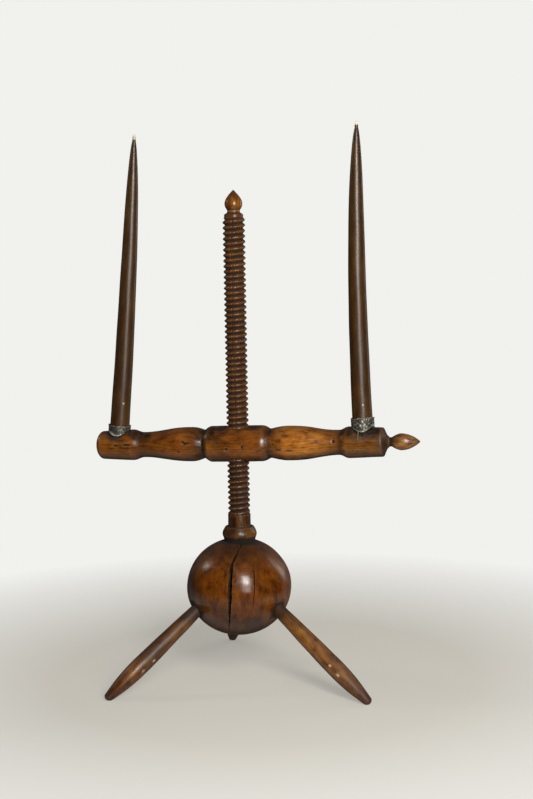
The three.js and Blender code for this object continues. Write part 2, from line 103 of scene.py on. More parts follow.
# Fineness of the meshes
ROW, BAR_ROW = 1.0, 0.8  # between two rows of points along a turned piece
WELD = 1e-6  # points closer than this are one, in metres
OVERSHOOT = 5  # how far a cutting tool stands out of what it cuts
SHARP = 40  # edges that turn by more degrees than this stay sharp


# Outlines

def straight(u):
    return u, u


def rise(u):
    return u, sin(pi / 2 * u)


def fall(u):
    return u, 1 - cos(pi / 2 * u)


def ogee(u):
    return u, (1 - cos(pi * u)) / 2


def swell(u):
    return 1 - cos(pi / 2 * u), sin(pi / 2 * u)


def tuck(u):
    return sin(pi / 2 * u), 1 - cos(pi / 2 * u)


def nose(u):
    return u, 1 - cos(pi / 2 * u) ** 0.8


def widen(u):
    return u, 1 - (1 - u) ** 1.4


class Outline:
    """What the turner's gouge follows. It starts at a station on the axis and moves on by lengths."""

    def __init__(self, station, radius=0):
        self.points = [(station, radius)]

    def on(self, length, radius, shape=straight, row=ROW):
        station, start = self.points[-1]
        steps = max(1, round(hypot(length, radius - start) / row))
        for step in range(1, steps + 1):
            along, across = shape(step / steps)
            self.points.append((station + length * along, start + (radius - start) * across))
        return self


# Frames: every piece is made upright at the origin and then carried to its place

def frame_in(parent, x=0, y=0, z=0, lean=0):
    turn = Matrix.Rotation(radians(lean), 4, "Y")
    return parent @ Matrix.Translation((x * MM, y * MM, z * MM)) @ turn


post_low, post_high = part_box("screw_post")
post_x, post_y = (post_low.x + post_high.x) / 2, (post_low.y + post_high.y) / 2
post_frame = Matrix.Translation((post_x, post_y, post_low.z + POST_TENON_LENGTH * MM))
crown_flat = BALL_HALF_HEIGHT - CROWN_FLAT_DROP
ball_frame = frame_in(post_frame, x=-POST_OFFSET_X, y=-POST_OFFSET_Y, z=-crown_flat)
arm_frame = frame_in(post_frame, z=ARM_HEIGHT, lean=-ARM_TILT)
bar_frame = frame_in(arm_frame, lean=90)  # its +Z runs along the bar to the right
FRONT = -90  # the side of the bar that looks forwards, as an angle in the bar's frame


# Modelling

def polar(angle, radius=1, height=0):
    """A point at an angle in degrees and a radius round the axis."""
    return Vector((radius * cos(radians(angle)), radius * sin(radians(angle)), height))


def lumps(point, wide, long):
    """Noise whose lumps are so many millimetres wide and long."""
    return noise.noise(Vector((point.x / wide, point.y / wide, point.z / long)))


def pick(piece):
    bpy.ops.object.select_all(action="DESELECT")
    piece.select_set(True)
    bpy.context.view_layer.objects.active = piece


def edited(piece, *steps):
    """Takes steps in edit mode, each of them on the whole mesh."""
    pick(piece)
    bpy.ops.object.mode_set(mode="EDIT")
    for step in steps:
        bpy.ops.mesh.select_all(action="SELECT")
        step()
    bpy.ops.object.mode_set(mode="OBJECT")
    return piece


def weld():
    bpy.ops.mesh.remove_doubles(threshold=WELD)


def face_outward():
    bpy.ops.mesh.normals_make_consistent(inside=False)


def linked(name, data):
    made = bpy.data.objects.new(name, data)
    bpy.context.collection.objects.link(made)
    return made


def draw_outline(name, points):
    """Draws an outline as one line of edges in the XZ plane, one extrusion at a time."""
    bpy.ops.mesh.primitive_plane_add(size=MM)
    piece = bpy.context.active_object
    piece.name = name
    bpy.ops.object.mode_set(mode="EDIT")
    bpy.ops.mesh.merge(type="CENTER")
    last_station, last_radius = points[0]
    bpy.ops.transform.translate(value=(last_radius * MM, 0, last_station * MM))
    for station, radius in points[1:]:
        move = ((radius - last_radius) * MM, 0, (station - last_station) * MM)
        bpy.ops.mesh.extrude_vertices_move(TRANSFORM_OT_translate={"value": move})
        last_station, last_radius = station, radius
    bpy.ops.object.mode_set(mode="OBJECT")
    return piece


def turned(name, outline, sides):
    """Spins an outline round +Z. Its ends are closed to the axis."""
    points = outline.points
    closed = [(points[0][0], 0), *(p for p in points if p[1] > 0), (points[-1][0], 0)]

    def spin():
        bpy.ops.mesh.spin(steps=sides, angle=tau, center=(0, 0, 0), axis=(0, 0, 1))

    return edited(draw_outline(name, closed), spin, weld, face_outward)


def rod(radius, low, high, sides):
    return turned("rod", Outline(low, radius).on(high - low, radius, row=high - low), sides)


def placed(piece, place):
    pick(piece)
    piece.matrix_world = place
    bpy.ops.object.transform_apply(location=True, rotation=True, scale=True)
    return piece


def combined(piece, tool, operation="DIFFERENCE"):
    """Cuts a piece with a tool, or joins the tool to it, and throws the tool away."""
    pick(piece)
    modifier = piece.modifiers.new("Tool", "BOOLEAN")
    modifier.object, modifier.operation, modifier.solver = tool, operation, "EXACT"
    bpy.ops.object.modifier_apply(modifier=modifier.name)
    bpy.data.objects.remove(tool)
    return piece


def mended(piece):
    """Takes out the slivers that a cut can leave and closes what they leave open."""
    return edited(
        piece, lambda: bpy.ops.mesh.dissolve_degenerate(threshold=WELD),
        lambda: bpy.ops.mesh.fill_holes(sides=0),
    )


def sliced(piece, height, keep_above):
    """Saws a piece off at a height and closes the cut."""
    cut = dict(plane_co=(0, 0, height * MM), plane_no=(0, 0, 1), use_fill=True)
    cut |= dict(clear_inner=keep_above, clear_outer=not keep_above)
    return edited(piece, lambda: bpy.ops.mesh.bisect(**cut))


def reshape(piece, move):
    """Moves every point of a piece by a rule that takes and gives a point in millimetres."""
    for vertex in piece.data.vertices:
        vertex.co = move(vertex.co / MM) * MM
    piece.data.update()


def aged(piece, depth, size, stretch=1):
    """Leaves a surface a little uneven, as a hand tool and long use do. Stretch runs along the piece."""

    def uneven(point):
        out = point.xy.to_3d()
        if out.length < 1:
            return point
        return point + out.normalized() * depth * lumps(point, size, size * stretch)

    reshape(piece, uneven)


def finished(piece, place, body, node, slot, look, tree_of, crease=0.35, edge=0.3, **finish):
    """Carries a piece to its place, gives it its wear and a material, which is one principled shader fed by
    what the finish's own function gives for each point, and lets it stand for a solid."""
    for layer in ("marks_and_shade", "chips", "stains_and_shade"):
        layer_of(piece, layer)
    placed(piece, place)
    store_wear(piece, crease, edge)
    bpy.ops.object.shade_smooth_by_angle(angle=radians(SHARP))
    material = bpy.data.materials.new(look)
    add = cleared(material)
    surface = add("BsdfPrincipled", tree_of(add, in_frame(add, place), **finish))
    add("OutputMaterial", {"Surface": surface})
    piece.data.materials.clear()
    piece.data.materials.append(material)
    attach(piece, body)
    if node:
        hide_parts(node)
    return piece


# Wear

def layer_of(piece, name):
    """A layer with one number for each point, made if it isn't there yet."""
    layers = piece.data.attributes
    return (layers.get(name) or layers.new(name, "FLOAT", "POINT")).data


def strike(piece, layer, places):
    """Presses dents, holes and slits into a turned piece and stores them in a layer, from 0 to 1. Each is
    (station, angle, half its length, half its width, depth), and shallow ones are paler. A stain has its
    strength for a depth, and the surface stays."""
    mesh = piece.data
    flat = layer == "stains_and_shade"
    shade = np.zeros(len(mesh.vertices), np.float32)
    for station, angle, long, wide, depth in places:
        towards = polar(angle)
        for vertex in mesh.vertices:
            point = vertex.co / MM
            across = point.xy.to_3d()
            if abs(point.z - station) > long or across.length < 1 or across.dot(towards) < 0:
                continue
            arc = across.length * across.angle(towards)
            reach = ((point.z - station) / long) ** 2 + (arc / wide) ** 2
            if reach < 1:
                pressed = (1 - reach) ** 0.7
                strength = pressed * depth if flat else min(1.6 * pressed, 1) * min(2 * depth, 1)
                shade[vertex.index] = max(shade[vertex.index], strength)
                if not flat:
                    vertex.co -= across.normalized() * (pressed * depth * MM)
    layer_of(piece, layer).foreach_set("value", shade)


def grime_and_painted_light(piece, amount, layer="marks_and_shade"):
    """Adds what a rule gives for each point, in millimetres, to a layer. The rules put on dirt, and in
    places painted shade or a painted highlight.
    """
    for vertex, stored in zip(piece.data.vertices, layer_of(piece, layer)):
        stored.value = max(stored.value, min(amount(vertex.co / MM), 1))


def read(items, name, wide, kind):
    values = np.empty(len(items) * wide, kind)
    items.foreach_get(name, values)
    return values.reshape(-1, wide)


def store_wear(piece, crease, edge, rounds=12):
    """Compares each point with a smoothed copy of the surface. Hollows are darkened, partly for dirt and
    partly as painted shade, and edges are rubbed bare. Tops and undersides are darkened as painted shade,
    where less light falls on them. All three are stored from 0 to 1 for the material."""
    points = read(piece.data.vertices, "co", 3, np.float32) / MM
    normals = read(piece.data.vertices, "normal", 3, np.float32)
    ends = read(piece.data.edges, "vertices", 2, np.int32)
    near, far = np.concatenate([ends, ends[:, ::-1]]).T
    count = len(points)
    neighbours = np.maximum(np.bincount(near, minlength=count), 1)[:, None]
    smooth = points.astype(float)
    for _ in range(rounds):
        total = np.stack([np.bincount(near, smooth[far, k], count) for k in range(3)], 1)
        smooth = (smooth + total / neighbours) / 2
    proud = ((points - smooth) * normals).sum(1)
    proud -= np.median(proud)
    # In hollows the darkening is dirt and painted shade; on tops and undersides it is painted shade.
    stored = {
        "soil": np.clip(-proud / crease, 0, 1),
        "bare": np.clip(proud / edge, 0, 1),
        "top_and_under_shade": np.clip((np.abs(normals[:, 2]) - 0.45) / 0.55, 0, 1),
    }
    for name, values in stored.items():
        layer_of(piece, name).foreach_set("value", values.astype(np.float32))


# Materials

def rgb(text):
    """A colour written as sRGB hex, made linear."""
    parts = [int(text[i : i + 2], 16) / 255 for i in (1, 3, 5)]
    return (*(c / 12.92 if c <= 0.04045 else ((c + 0.055) / 1.055) ** 2.4 for c in parts), 1)


def add_to(tree, kind, inputs=(), output=0, stops=(), **settings):
    """Adds a shader node and gives one of its outputs. Inputs go by name, or as a list in the node's own
    order, and each takes a value or the output that feeds it."""
    made = tree.nodes.new("ShaderNode" + kind)
    for name, value in settings.items():
        setattr(made, name, value)
    for name, value in inputs.items() if isinstance(inputs, dict) else enumerate(inputs):
        if isinstance(value, bpy.types.NodeSocket):
            tree.links.new(value, made.inputs[name])
        else:
            made.inputs[name].default_value = value
    for i, (position, colour) in enumerate(stops):
        elements = made.color_ramp.elements
        element = elements[i] if i < 2 else elements.new(position)
        element.position, element.color = position, rgb(colour)
    return made.outputs[output] if len(made.outputs) else made


BLEND = dict(data_type="RGBA", output=2)  # a Mix node that lays one colour over another
UNDER, OVER = 6, 7  # and its two colours
NOISE_RANGE = 0.3, 0.7  # nearly all of a noise lies between these


def cleared(block):
    """Empties a material's or a world's tree, and gives `add` for that tree."""
    block.use_nodes = True
    block.node_tree.nodes.clear()
    return functools.partial(add_to, block.node_tree)


def in_frame(add, place):
    """Object coordinates turned into millimetres in a piece's own upright frame."""
    back = place.inverted()
    turn = {"Location": back.translation / MM, "Rotation": back.to_euler(), "Scale": (1 / MM,) * 3}
    return add("Mapping", {"Vector": add("TexCoord", output="Object"), **turn})


def patterns(add, point, sizes):
    """Clouds of noise whose patches are so many millimetres wide and long, each with its detail."""
    made = []
    for wide, long, detail in sizes:
        scale = (1 / wide, 1 / wide, 1 / long)
        vector = add("Mapping", {"Vector": point, "Scale": scale})
        made.append(add("TexNoise", {"Vector": vector, "Scale": 1, "Detail": detail, "Roughness": 0.6}))
    return made


def glancing(add, gloss, dullest):
    """A roughness that grows where the surface is seen edge on, as on an uneven old polish."""
    facing = add("LayerWeight", [0.5], output="Facing")
    edge_on = add("MapRange", [facing, 0.4, 0.9, 0, dullest])
    return add("Math", [gloss, edge_on], operation="ADD", use_clamp=True)


def polished_wood(
    add, point, colours, soil="#120803", bare="#a8713c", pith=(38, 16, 0), shine=0.3, straight_grain=0.35,
    flecks=(0.66, 0.4),
):
    """Turned fruitwood under old wax polish: stain lies in clouds over a straight, faint grain with fine
    dark pores, dirt and painted shade darken the hollows and cracks, tops and undersides get painted shade,
    edges are rubbed bare, and the grain breaks up a soft gloss. The pores are drawn wider than their real
    0.2 mm, so that they show. Colours are (station, hex)."""
    cloud, figure, gold, streak, pore = patterns(
        add, point, [(12, 18, 6), (4.4, 9, 5), (11, 30, 3), (1.6, 16, 4), (0.7, 2.4, 2)]
    )
    soiled, marked_and_shaded, worn, chipped, top_and_under_shade, stained_and_shaded = (
        add("Attribute", attribute_name=name, output="Fac")
        for name in ("soil", "marks_and_shade", "bare", "chips", "top_and_under_shade", "stains_and_shade")
    )

    # The stain's colour along the piece, with golden patches
    shift = add("MapRange", [cloud, *NOISE_RANGE, -5, 5])
    station = add("Math", [add("SeparateXYZ", [point], output="Z"), shift], operation="ADD")
    low, high = colours[0][0], colours[-1][0]
    stops = [((at - low) / (high - low), colour) for at, colour in colours]
    colour = add("ValToRGB", [add("MapRange", [station, low, high, 0, 1])], stops=stops)
    golden = add("MapRange", [gold, 0.48, 0.68, 0, 0.45])
    colour = add("Mix", {0: golden, UNDER: colour, OVER: rgb("#8a5a14")}, **BLEND)

    # The grain: year rings round the pith, streaks along them and broader figure
    around = add("VectorMath", [point, pith], operation="ADD")
    around = add("Mapping", {"Vector": around, "Scale": (1 / 8, 1 / 8, 1 / 70)})
    rings = add(
        "TexWave", {"Vector": around, "Scale": 0.9, "Distortion": 3, "Detail": 3}, output="Fac",
        wave_type="RINGS", rings_direction="Z",
    )
    grain = add("Math", [rings, 0.3, streak], operation="MULTIPLY_ADD")
    grain = add("Math", [grain, straight_grain], operation="MULTIPLY")
    for pattern, weight in ((figure, 0.5), (cloud, 0.8)):
        grain = add("Math", [pattern, weight, grain], operation="MULTIPLY_ADD")
    middle, half = 0.7 + straight_grain / 2, 0.24
    shade = add(
        "ValToRGB", [add("MapRange", [grain, middle - half, middle + half, 0, 1])],
        stops=[(0, "#7c6248"), (0.5, "#d8c9b8"), (1, "#ffffff")],
    )
    colour = add("Mix", {0: 1.0, UNDER: colour, OVER: shade}, blend_type="MULTIPLY", **BLEND)

    # What lies over it, with painted shade on tops, undersides, hollows and cracks
    uneven = add("MapRange", [figure, 0.35, 0.6, 0.2, 1.1])
    stained_and_shaded = add("Math", [stained_and_shaded, uneven], operation="MULTIPLY")
    clouded = add("MapRange", [cloud, 0.42, 0.28, 0, 0.5])
    stain = add("Math", [clouded, stained_and_shaded], operation="MAXIMUM")
    # Tops and undersides are darkened as painted shade
    stain = add("Math", [top_and_under_shade, 0.45, stain], operation="MULTIPLY_ADD", use_clamp=True)
    rarity, strength = flecks
    open_pore = add("MapRange", [pore, rarity, rarity + 0.1, 0, strength])
    rubbed = add("Math", [worn, figure], operation="MULTIPLY")
    # Hollows, cracks and seams darken with dirt and painted shade
    dirt_and_shade = add("Math", [soiled, marked_and_shaded], operation="MAXIMUM")
    caked_and_shaded = add("MapRange", [dirt_and_shade, 0, 1, 0, 0.94])
    for share, over in (
        (stain, "#221206"), (open_pore, "#241205"), (rubbed, bare), (caked_and_shaded, soil), (chipped, "#cdb48c"),
    ):
        colour = add("Mix", {0: share, UNDER: colour, OVER: rgb(over)}, **BLEND)

    matt = add("MapRange", [streak, *NOISE_RANGE, shine - 0.04, shine + 0.08])
    for layer, weight in ((dirt_and_shade, 0.6), (top_and_under_shade, 0.4)):
        matt = add("Math", [layer, weight, matt], operation="MULTIPLY_ADD")
    height = add("Math", [streak, 2 * straight_grain, figure], operation="MULTIPLY_ADD")
    height = add("Math", [open_pore, -0.6, height], operation="MULTIPLY_ADD")
    return {
        "Base Color": colour,
        "Roughness": glancing(add, matt, 0.7),
        "Normal": add("Bump", {"Strength": 0.4, "Distance": 0.2 * MM, "Height": height}),
        "Specular IOR Level": 0.4,
    }


def dull_sheet(add, point):
    """Soft grey sheet metal, cut and bent by hand: tarnished nearly black, bright where it was rubbed and
    where a painted highlight lies along its lower edge, black with dirt and painted shade in hollows.
    """
    tarnish, pits, scratches = patterns(add, point, [(5, 5, 6), (0.9, 0.9, 3), (1.2, 0.5, 4)])
    mottled = add("Math", [pits, 0.35, tarnish], operation="MULTIPLY_ADD")
    colour = add(
        "ValToRGB", [add("MapRange", [mottled, 0.45, 0.9, 0, 1])],
        stops=[(0.1, "#232119"), (0.5, "#4a483e"), (0.9, "#6e6b62")],
    )
    for names, over in ((("bare", "chips"), "#efeae0"), (("soil", "marks_and_shade"), "#14110c")):
        layers = [add("Attribute", attribute_name=name, output="Fac") for name in names]
        share = add("Math", layers, operation="MAXIMUM")
        colour = add("Mix", {0: share, UNDER: colour, OVER: rgb(over)}, **BLEND)
    return {
        "Base Color": colour,
        "Metallic": 0.7,
        "Roughness": add("MapRange", [scratches, *NOISE_RANGE, 0.4, 0.62]),
        "Normal": add("Bump", {"Strength": 0.5, "Distance": 0.3 * MM, "Height": mottled}),
    }


def dipped_wax(add, point, shades=("#2b1804", "#3b2306", "#4a2f0c"), tip=0, pale_tip=1):
    """A dark brown dipped taper: an even, slightly cloudy skin with a soft gloss. The pale wick shows
    through the last of the wax at its tip."""
    cloud, speck = patterns(add, point, [(6, 26, 4), (1.1, 1.6, 3)])
    colour = add("ValToRGB", [cloud], stops=list(zip((0.32, 0.5, 0.7), shades)))
    if tip:
        station = add("SeparateXYZ", [point], output="Z")
        thin = add("MapRange", [station, tip - pale_tip, tip - pale_tip + 1, 0, 0.85])
        colour = add("Mix", {0: thin, UNDER: colour, OVER: rgb("#cdbf98")}, **BLEND)
    gloss = add("MapRange", [speck, *NOISE_RANGE, 0.3, 0.42])
    return {
        "Base Color": colour,
        "Roughness": glancing(add, gloss, 0.6),
        "Normal": add("Bump", {"Strength": 0.3, "Distance": 0.12 * MM, "Height": speck}),
        "Specular IOR Level": 0.5,
    }


def braided_cotton(add, point):
    """Unburnt wick: pale braided cotton, stiff with wax."""
    braid = add(
        "TexWave", {"Vector": point, "Scale": 0.5, "Distortion": 2}, output="Fac",
        bands_direction="DIAGONAL",
    )
    return {
        "Base Color": add("ValToRGB", [braid], stops=[(0.2, "#d8cca6"), (0.8, "#f4eed8")]),
        "Roughness": 0.85,
        "Normal": add("Bump", {"Strength": 0.6, "Distance": 0.1 * MM, "Height": braid}),
    }


# Ball and legs

def leg_frame_of(reach, bearing):
    """A leg's frame looks from the aim point over the ball's centre down to the toe."""
    centre_to_floor = ball_frame.translation.z / MM
    way = polar(bearing, reach, TOE_HEIGHT - centre_to_floor) - Vector((0, 0, LEG_AIM_RISE))
    turn = Vector((0, 0, 1)).rotation_difference(way).to_matrix().to_4x4()
    return frame_in(ball_frame, z=LEG_AIM_RISE) @ turn, way


def leg_outline(way, grow):
    """The leg's outline, with its tenon as deep in the ball as the bores are."""
    direction = way.normalized()
    across = hypot(direction.x, direction.y) / BALL_RADIUS
    down = direction.z / BALL_HALF_HEIGHT
    start = LEG_AIM_RISE / BALL_HALF_HEIGHT
    a, b, c = across**2 + down**2, start * down, start**2 - 1
    leaves_ball = (sqrt(b**2 - a * c) - b) / a
    visible = way.length - leaves_ball
    return (
        Outline(leaves_ball - LEG_TENON_DEPTH - grow, LEG_TENON_RADIUS + grow)
        .on(LEG_TENON_DEPTH + grow, LEG_NECK_RADIUS + grow)
        .on(visible * LEG_BELLY_SHARE, LEG_BELLY_RADIUS + grow, widen)
        .on(visible * (1 - LEG_BELLY_SHARE), TOE_RADIUS + grow, fall)
        .on(TOE_LENGTH, 0, tuck, row=0.5)
    )


LEG_CHIPS = {
    "leg_left": [(140.4, -66.6, 2.6, 0.9, 0.4), (156.6, -63.2, 2.2, 1.0, 0.4), (148, 120, 2.4, 0.9, 0.4)],
    "leg_right": [(156.5, -131.2, 2.0, 0.9, 0.4), (170.2, -124.5, 2.6, 1.0, 0.4)],
    "leg_rear": [(150, 95, 2.5, 1.0, 0.4)],
}
LEG_COLOURS = {
    "leg_left": [(45, "#2c1a08"), (72, "#5c3c14"), (92, "#8a5c24"), (135, "#6a4416"), (165, "#744616"),
                 (204, "#402206")],
    "leg_right": [(45, "#2c1a08"), (78, "#5c3810"), (110, "#946428"), (150, "#885620"), (180, "#84582c"),
                  (211, "#6c4630")],
    "leg_rear": [(45, "#1c1004"), (90, "#4e3010"), (140, "#6e4820"), (175, "#64401c"), (212, "#482408")],
}
LEG_DIRT = {  # how dirty and dull each leg is at its stations, from the ball to the toe
    "leg_left": [(45, 0.9), (62, 0.75), (85, 0.5), (110, 0.42), (146, 0.4), (166, 0)],
    "leg_right": [(45, 0.9), (60, 0.75), (80, 0.12), (168, 0.12), (188, 0.36), (212, 0.5)],
    "leg_rear": [(45, 0.9), (92, 0.12), (215, 0.2)],
}
LEG_SHINE = {"leg_left": 0.19, "leg_right": 0.26, "leg_rear": 0.26}


legs = {name: leg_frame_of(*foot) for name, foot in FEET.items()}


def make_legs():
    for name, (place, way) in legs.items():
        leg = turned(name + "_turned", leg_outline(way, 0), sides=56)
        aged(leg, depth=0.3, size=9, stretch=2.5)
        grime_and_painted_light(leg, lambda point: float(np.interp(point.z, *zip(*LEG_DIRT[name]))))
        strike(leg, "chips", LEG_CHIPS[name])
        finished(
            leg, place, "base", name, "red_wood", "Turned beech leg, old wax, " + name, polished_wood,
            colours=LEG_COLOURS[name], bare="#a58866", shine=LEG_SHINE[name],
        )
        sliced(leg, 0, keep_above=True)


CRACKS = [
    # azimuth and height over the ball's centre of each corner, width and depth in millimetres
    (
        [(-64, 52), (-76, 46), (-83.6, 35), (-83.8, 20), (-84, 1), (-85, -14), (-86.6, -27), (-91.8, -42)],
        4.2, 15,
    ),
    ([(-51.7, 38), (-55.4, 26), (-57, 11), (-58.6, -3), (-59.4, -18)], 1.1, 5),
    ([(-27, 37), (-26.7, 29), (-28.5, 22)], 0.5, 2),
    ([(-117, 14), (-117.2, 8), (-118, -4)], 0.6, 2),
    ([(-86.9, 21), (-89.2, 15), (-89.5, 6), (-88.4, -5)], 0.6, 2.5),
    ([(62, 50), (70, 30), (74, 4), (71, -20)], 1.6, 7),
]
CRACK_STEPS = 60  # sections along a crack
SHADED_DEPTH = 1.2  # no light reaches a crack's walls below this
BALL_STAINS_AND_SHADE = [
    # height over the ball's centre, azimuth, half height, half width and strength
    (17, 0, 6, 7, 0.8), (15, -17, 5, 6, 0.8), (11, -30, 6, 6, 0.6), (4, -44, 8, 5, 0.8),
    (-14, -90, 10, 7, 0.8), (12, -140, 26, 20, 0.6), (-6, -122, 14, 13, 0.7), (-9, -22, 6, 5, 0.5),
    # The wide, strong one at -158 darkens the whole left side, away from the lamps: painted shade.
    (44, -75, 7, 16, 0.4), (-32, -60, 9, 14, 0.6), (-6, -158, 42, 38, 1.25), (10, 60, 20, 12, 0.7),
    (-20, 150, 12, 18, 0.7), (30, 110, 10, 14, 0.7),
]
BALL_COLOURS = [
    (-55, "#3a1a04"), (-28, "#603406"), (0, "#78420a"), (26, "#78440c"), (46, "#6a3c0a"), (54, "#4a2806"),
]
BALL_ROWS = 110  # from its foot to its flat crown
SEAM_SHADE_AND_GRIME = 19, 25  # how far from the post's axis the dirt and painted shadow round the collar are thickest, and end
SOCKET_GRIME = 6  # how far the dirt round a leg reaches


def crack_wedge(corners, width, depth):
    """A wandering wedge that splits the ball along a line of corners, widest in its upper half. Each of its
    sections runs over the skin, down one wall to the bottom and up the other."""
    points = []
    for step in range(CRACK_STEPS + 1):
        share = step / CRACK_STEPS
        place = share * (len(corners) - 1)
        i = min(int(place), len(corners) - 2)
        azimuth, height = (a + (b - a) * (place - i) for a, b in zip(corners[i], corners[i + 1]))
        wander = noise.noise(Vector((share * 14, width, 0))) * (0.2 + width * 0.08)
        ragged = 1 + 0.5 * noise.noise(Vector((share * 34, 7, width)))
        half = width / 2 * ragged * sin(pi * (0.08 + 0.89 * share))
        radius = BALL_RADIUS * sqrt(max(1 - (height / BALL_HALF_HEIGHT) ** 2, 0.02))
        out = polar(azimuth)
        side = Vector((-out.y, out.x, 0))
        skin = out * radius + Vector((0, 0, height)) + side * wander
        inward = -skin.normalized()
        bottom = depth * (0.35 + half / width)
        shaded = min(SHADED_DEPTH, bottom / 2)
        section = ((-2, 1), (-2, -1), (shaded, -1), (bottom, 0), (shaded, 1))
        for low, reach in section:
            points.append(skin + inward * low + side * reach * half * (1 - low / bottom))
    around = len(section)
    faces = [tuple(range(around - 1, -1, -1)), tuple(around * CRACK_STEPS + k for k in range(around))]
    for at in range(0, around * CRACK_STEPS, around):
        for k in range(around):
            after = (k + 1) % around
            faces.append((at + k, at + after, at + after + around, at + k + around))
    mesh = bpy.data.meshes.new("crack")
    mesh.from_pydata([tuple(point * MM) for point in points], [], faces)
    return edited(linked("crack", mesh), face_outward)


def socket_grime(point):
    """Dirt on the ball round each leg."""
    dark = 0
    out = point - Vector((0, 0, LEG_AIM_RISE))
    for _, way in legs.values():
        along = way.normalized()
        reached = out.dot(along)
        if reached > 0:
            away = (out - along * reached).length - LEG_NECK_RADIUS
            ragged = 1 + 0.8 * noise.noise(point / 5)
            dark = max(dark, 1.3 * (1 - away / (SOCKET_GRIME * ragged)))
    return dark


def ball_shade_and_grime(point):
    """Dirt and painted shade in the cracks, as deep as they are, and dirt with a painted shadow round the
    post's collar.
    """
    across = hypot(point.x, point.y) / BALL_RADIUS
    level = sqrt(across**2 + (point.z / BALL_HALF_HEIGHT) ** 2)
    depth = (1 - level) * BALL_HALF_HEIGHT
    from_post = hypot(point.x - POST_OFFSET_X, point.y - POST_OFFSET_Y)
    thick, ends = SEAM_SHADE_AND_GRIME
    ring = (ends - from_post) / (ends - thick) if point.z > 0 else 0
    return max(ring, depth / SHADED_DEPTH if depth > SHADED_DEPTH / 2 else 0)


def make_ball():
    top = asin(crown_flat / BALL_HALF_HEIGHT)
    outline = Outline(-BALL_HALF_HEIGHT)
    for row in range(1, BALL_ROWS + 1):
        angle = -pi / 2 + (top + pi / 2) * row / BALL_ROWS
        outline.points.append((BALL_HALF_HEIGHT * sin(angle), BALL_RADIUS * cos(angle)))
    ball = turned("ball_turned", outline, sides=180)
    aged(ball, depth=0.45, size=26)
    strike(ball, "stains_and_shade", BALL_STAINS_AND_SHADE)
    into_ball = ball_frame.inverted()
    tenon_bore = rod(POST_TENON_RADIUS + SEAT_GAP, -POST_TENON_LENGTH - SEAT_GAP, OVERSHOOT, 64)
    combined(ball, placed(tenon_bore, into_ball @ post_frame))
    for place, way in legs.values():
        socket = turned("socket", leg_outline(way, SEAT_GAP), sides=48)
        combined(ball, placed(socket, into_ball @ place))
    for crack in CRACKS:
        combined(ball, crack_wedge(*crack))
    grime_and_painted_light(ball, ball_shade_and_grime)
    grime_and_painted_light(ball, socket_grime)
    finished(
        ball, ball_frame, "base", "ball", "honey_wood", "Turned walnut ball, old wax", polished_wood,
        crease=0.5, edge=2.2, colours=BALL_COLOURS, bare="#74481c", pith=(64, 30, 0), shine=0.15,
        straight_grain=0.06, flecks=(0.58, 0.65),
    )


# Post

def thread_profile(play):
    """One pitch of the thread, from root to root, with its crest rubbed round."""
    half_crest = CREST_FLAT / 2
    rounding = [(-half_crest - 0.35, -0.35), (-half_crest, -0.12), (0, 0), (half_crest, -0.12)]
    crest = [(lift, CREST_RADIUS + play + drop) for lift, drop in rounding]
    crest.append((half_crest + 0.35, CREST_RADIUS + play - 0.35))
    root = ROOT_RADIUS + play
    flank = (ROOT_RADIUS + CREST_RADIUS) / 2 + play - 0.1
    middle = (CREST_FLAT + PITCH) / 4
    return [
        (-PITCH / 2, root), (-PITCH / 2 + 0.45, root + 0.2), (-middle, flank), *crest,
        (middle, flank), (PITCH / 2 - 0.45, root + 0.2), (PITCH / 2, root),
    ]


def threaded_rod(name, low, high, play, sides):
    """A right-hand thread between two heights over the seat, screwed up from one pitch of its profile."""
    start = CREST_AT_FRONT + PITCH * (floor((low - CREST_AT_FRONT) / PITCH) - 1)
    turns = ceil((high - start) / PITCH) + 1
    points = [(start + lift, radius) for lift, radius in thread_profile(play)]
    piece = draw_outline(name, points)
    screw = piece.modifiers.new("Thread", "SCREW")
    screw.axis, screw.angle, screw.screw_offset = "Z", tau, PITCH * MM
    screw.steps = screw.render_steps = sides
    screw.iterations = turns
    screw.use_merge_vertices, screw.merge_threshold = True, WELD
    bpy.ops.object.modifier_apply(modifier=screw.name)
    sliced(piece, low, keep_above=True)
    sliced(piece, high, keep_above=False)
    return edited(piece, weld, face_outward)


POST_CRACK = [  # height and azimuth of each corner
    (30, -88), (70, -91), (140, -84), (230, -93), (309, -86), (326, -98), (340, -88), (361, -81),
]
CRACK_HALF_WIDTH, CRACK_NICK = 1.1, 0.8  # and how deep it nicks a crest
CREST_CHIP, CREST_WEAR = 0.9, 0.16  # the depth of the crests' chips, and of their roughness
POST_COLOURS = [
    (-35, "#301a06"), (18, "#382008"), (30, "#3e240c"), (110, "#3c240c"), (130, "#553616"),
    (368, "#583818"),
]
POST_SIDES = 96


def crack_azimuth(height):
    for (low, a), (high, b) in zip(POST_CRACK, POST_CRACK[1:]):
        if height <= high:
            return a + (b - a) * max(height - low, 0) / (high - low)
    return POST_CRACK[-1][1]


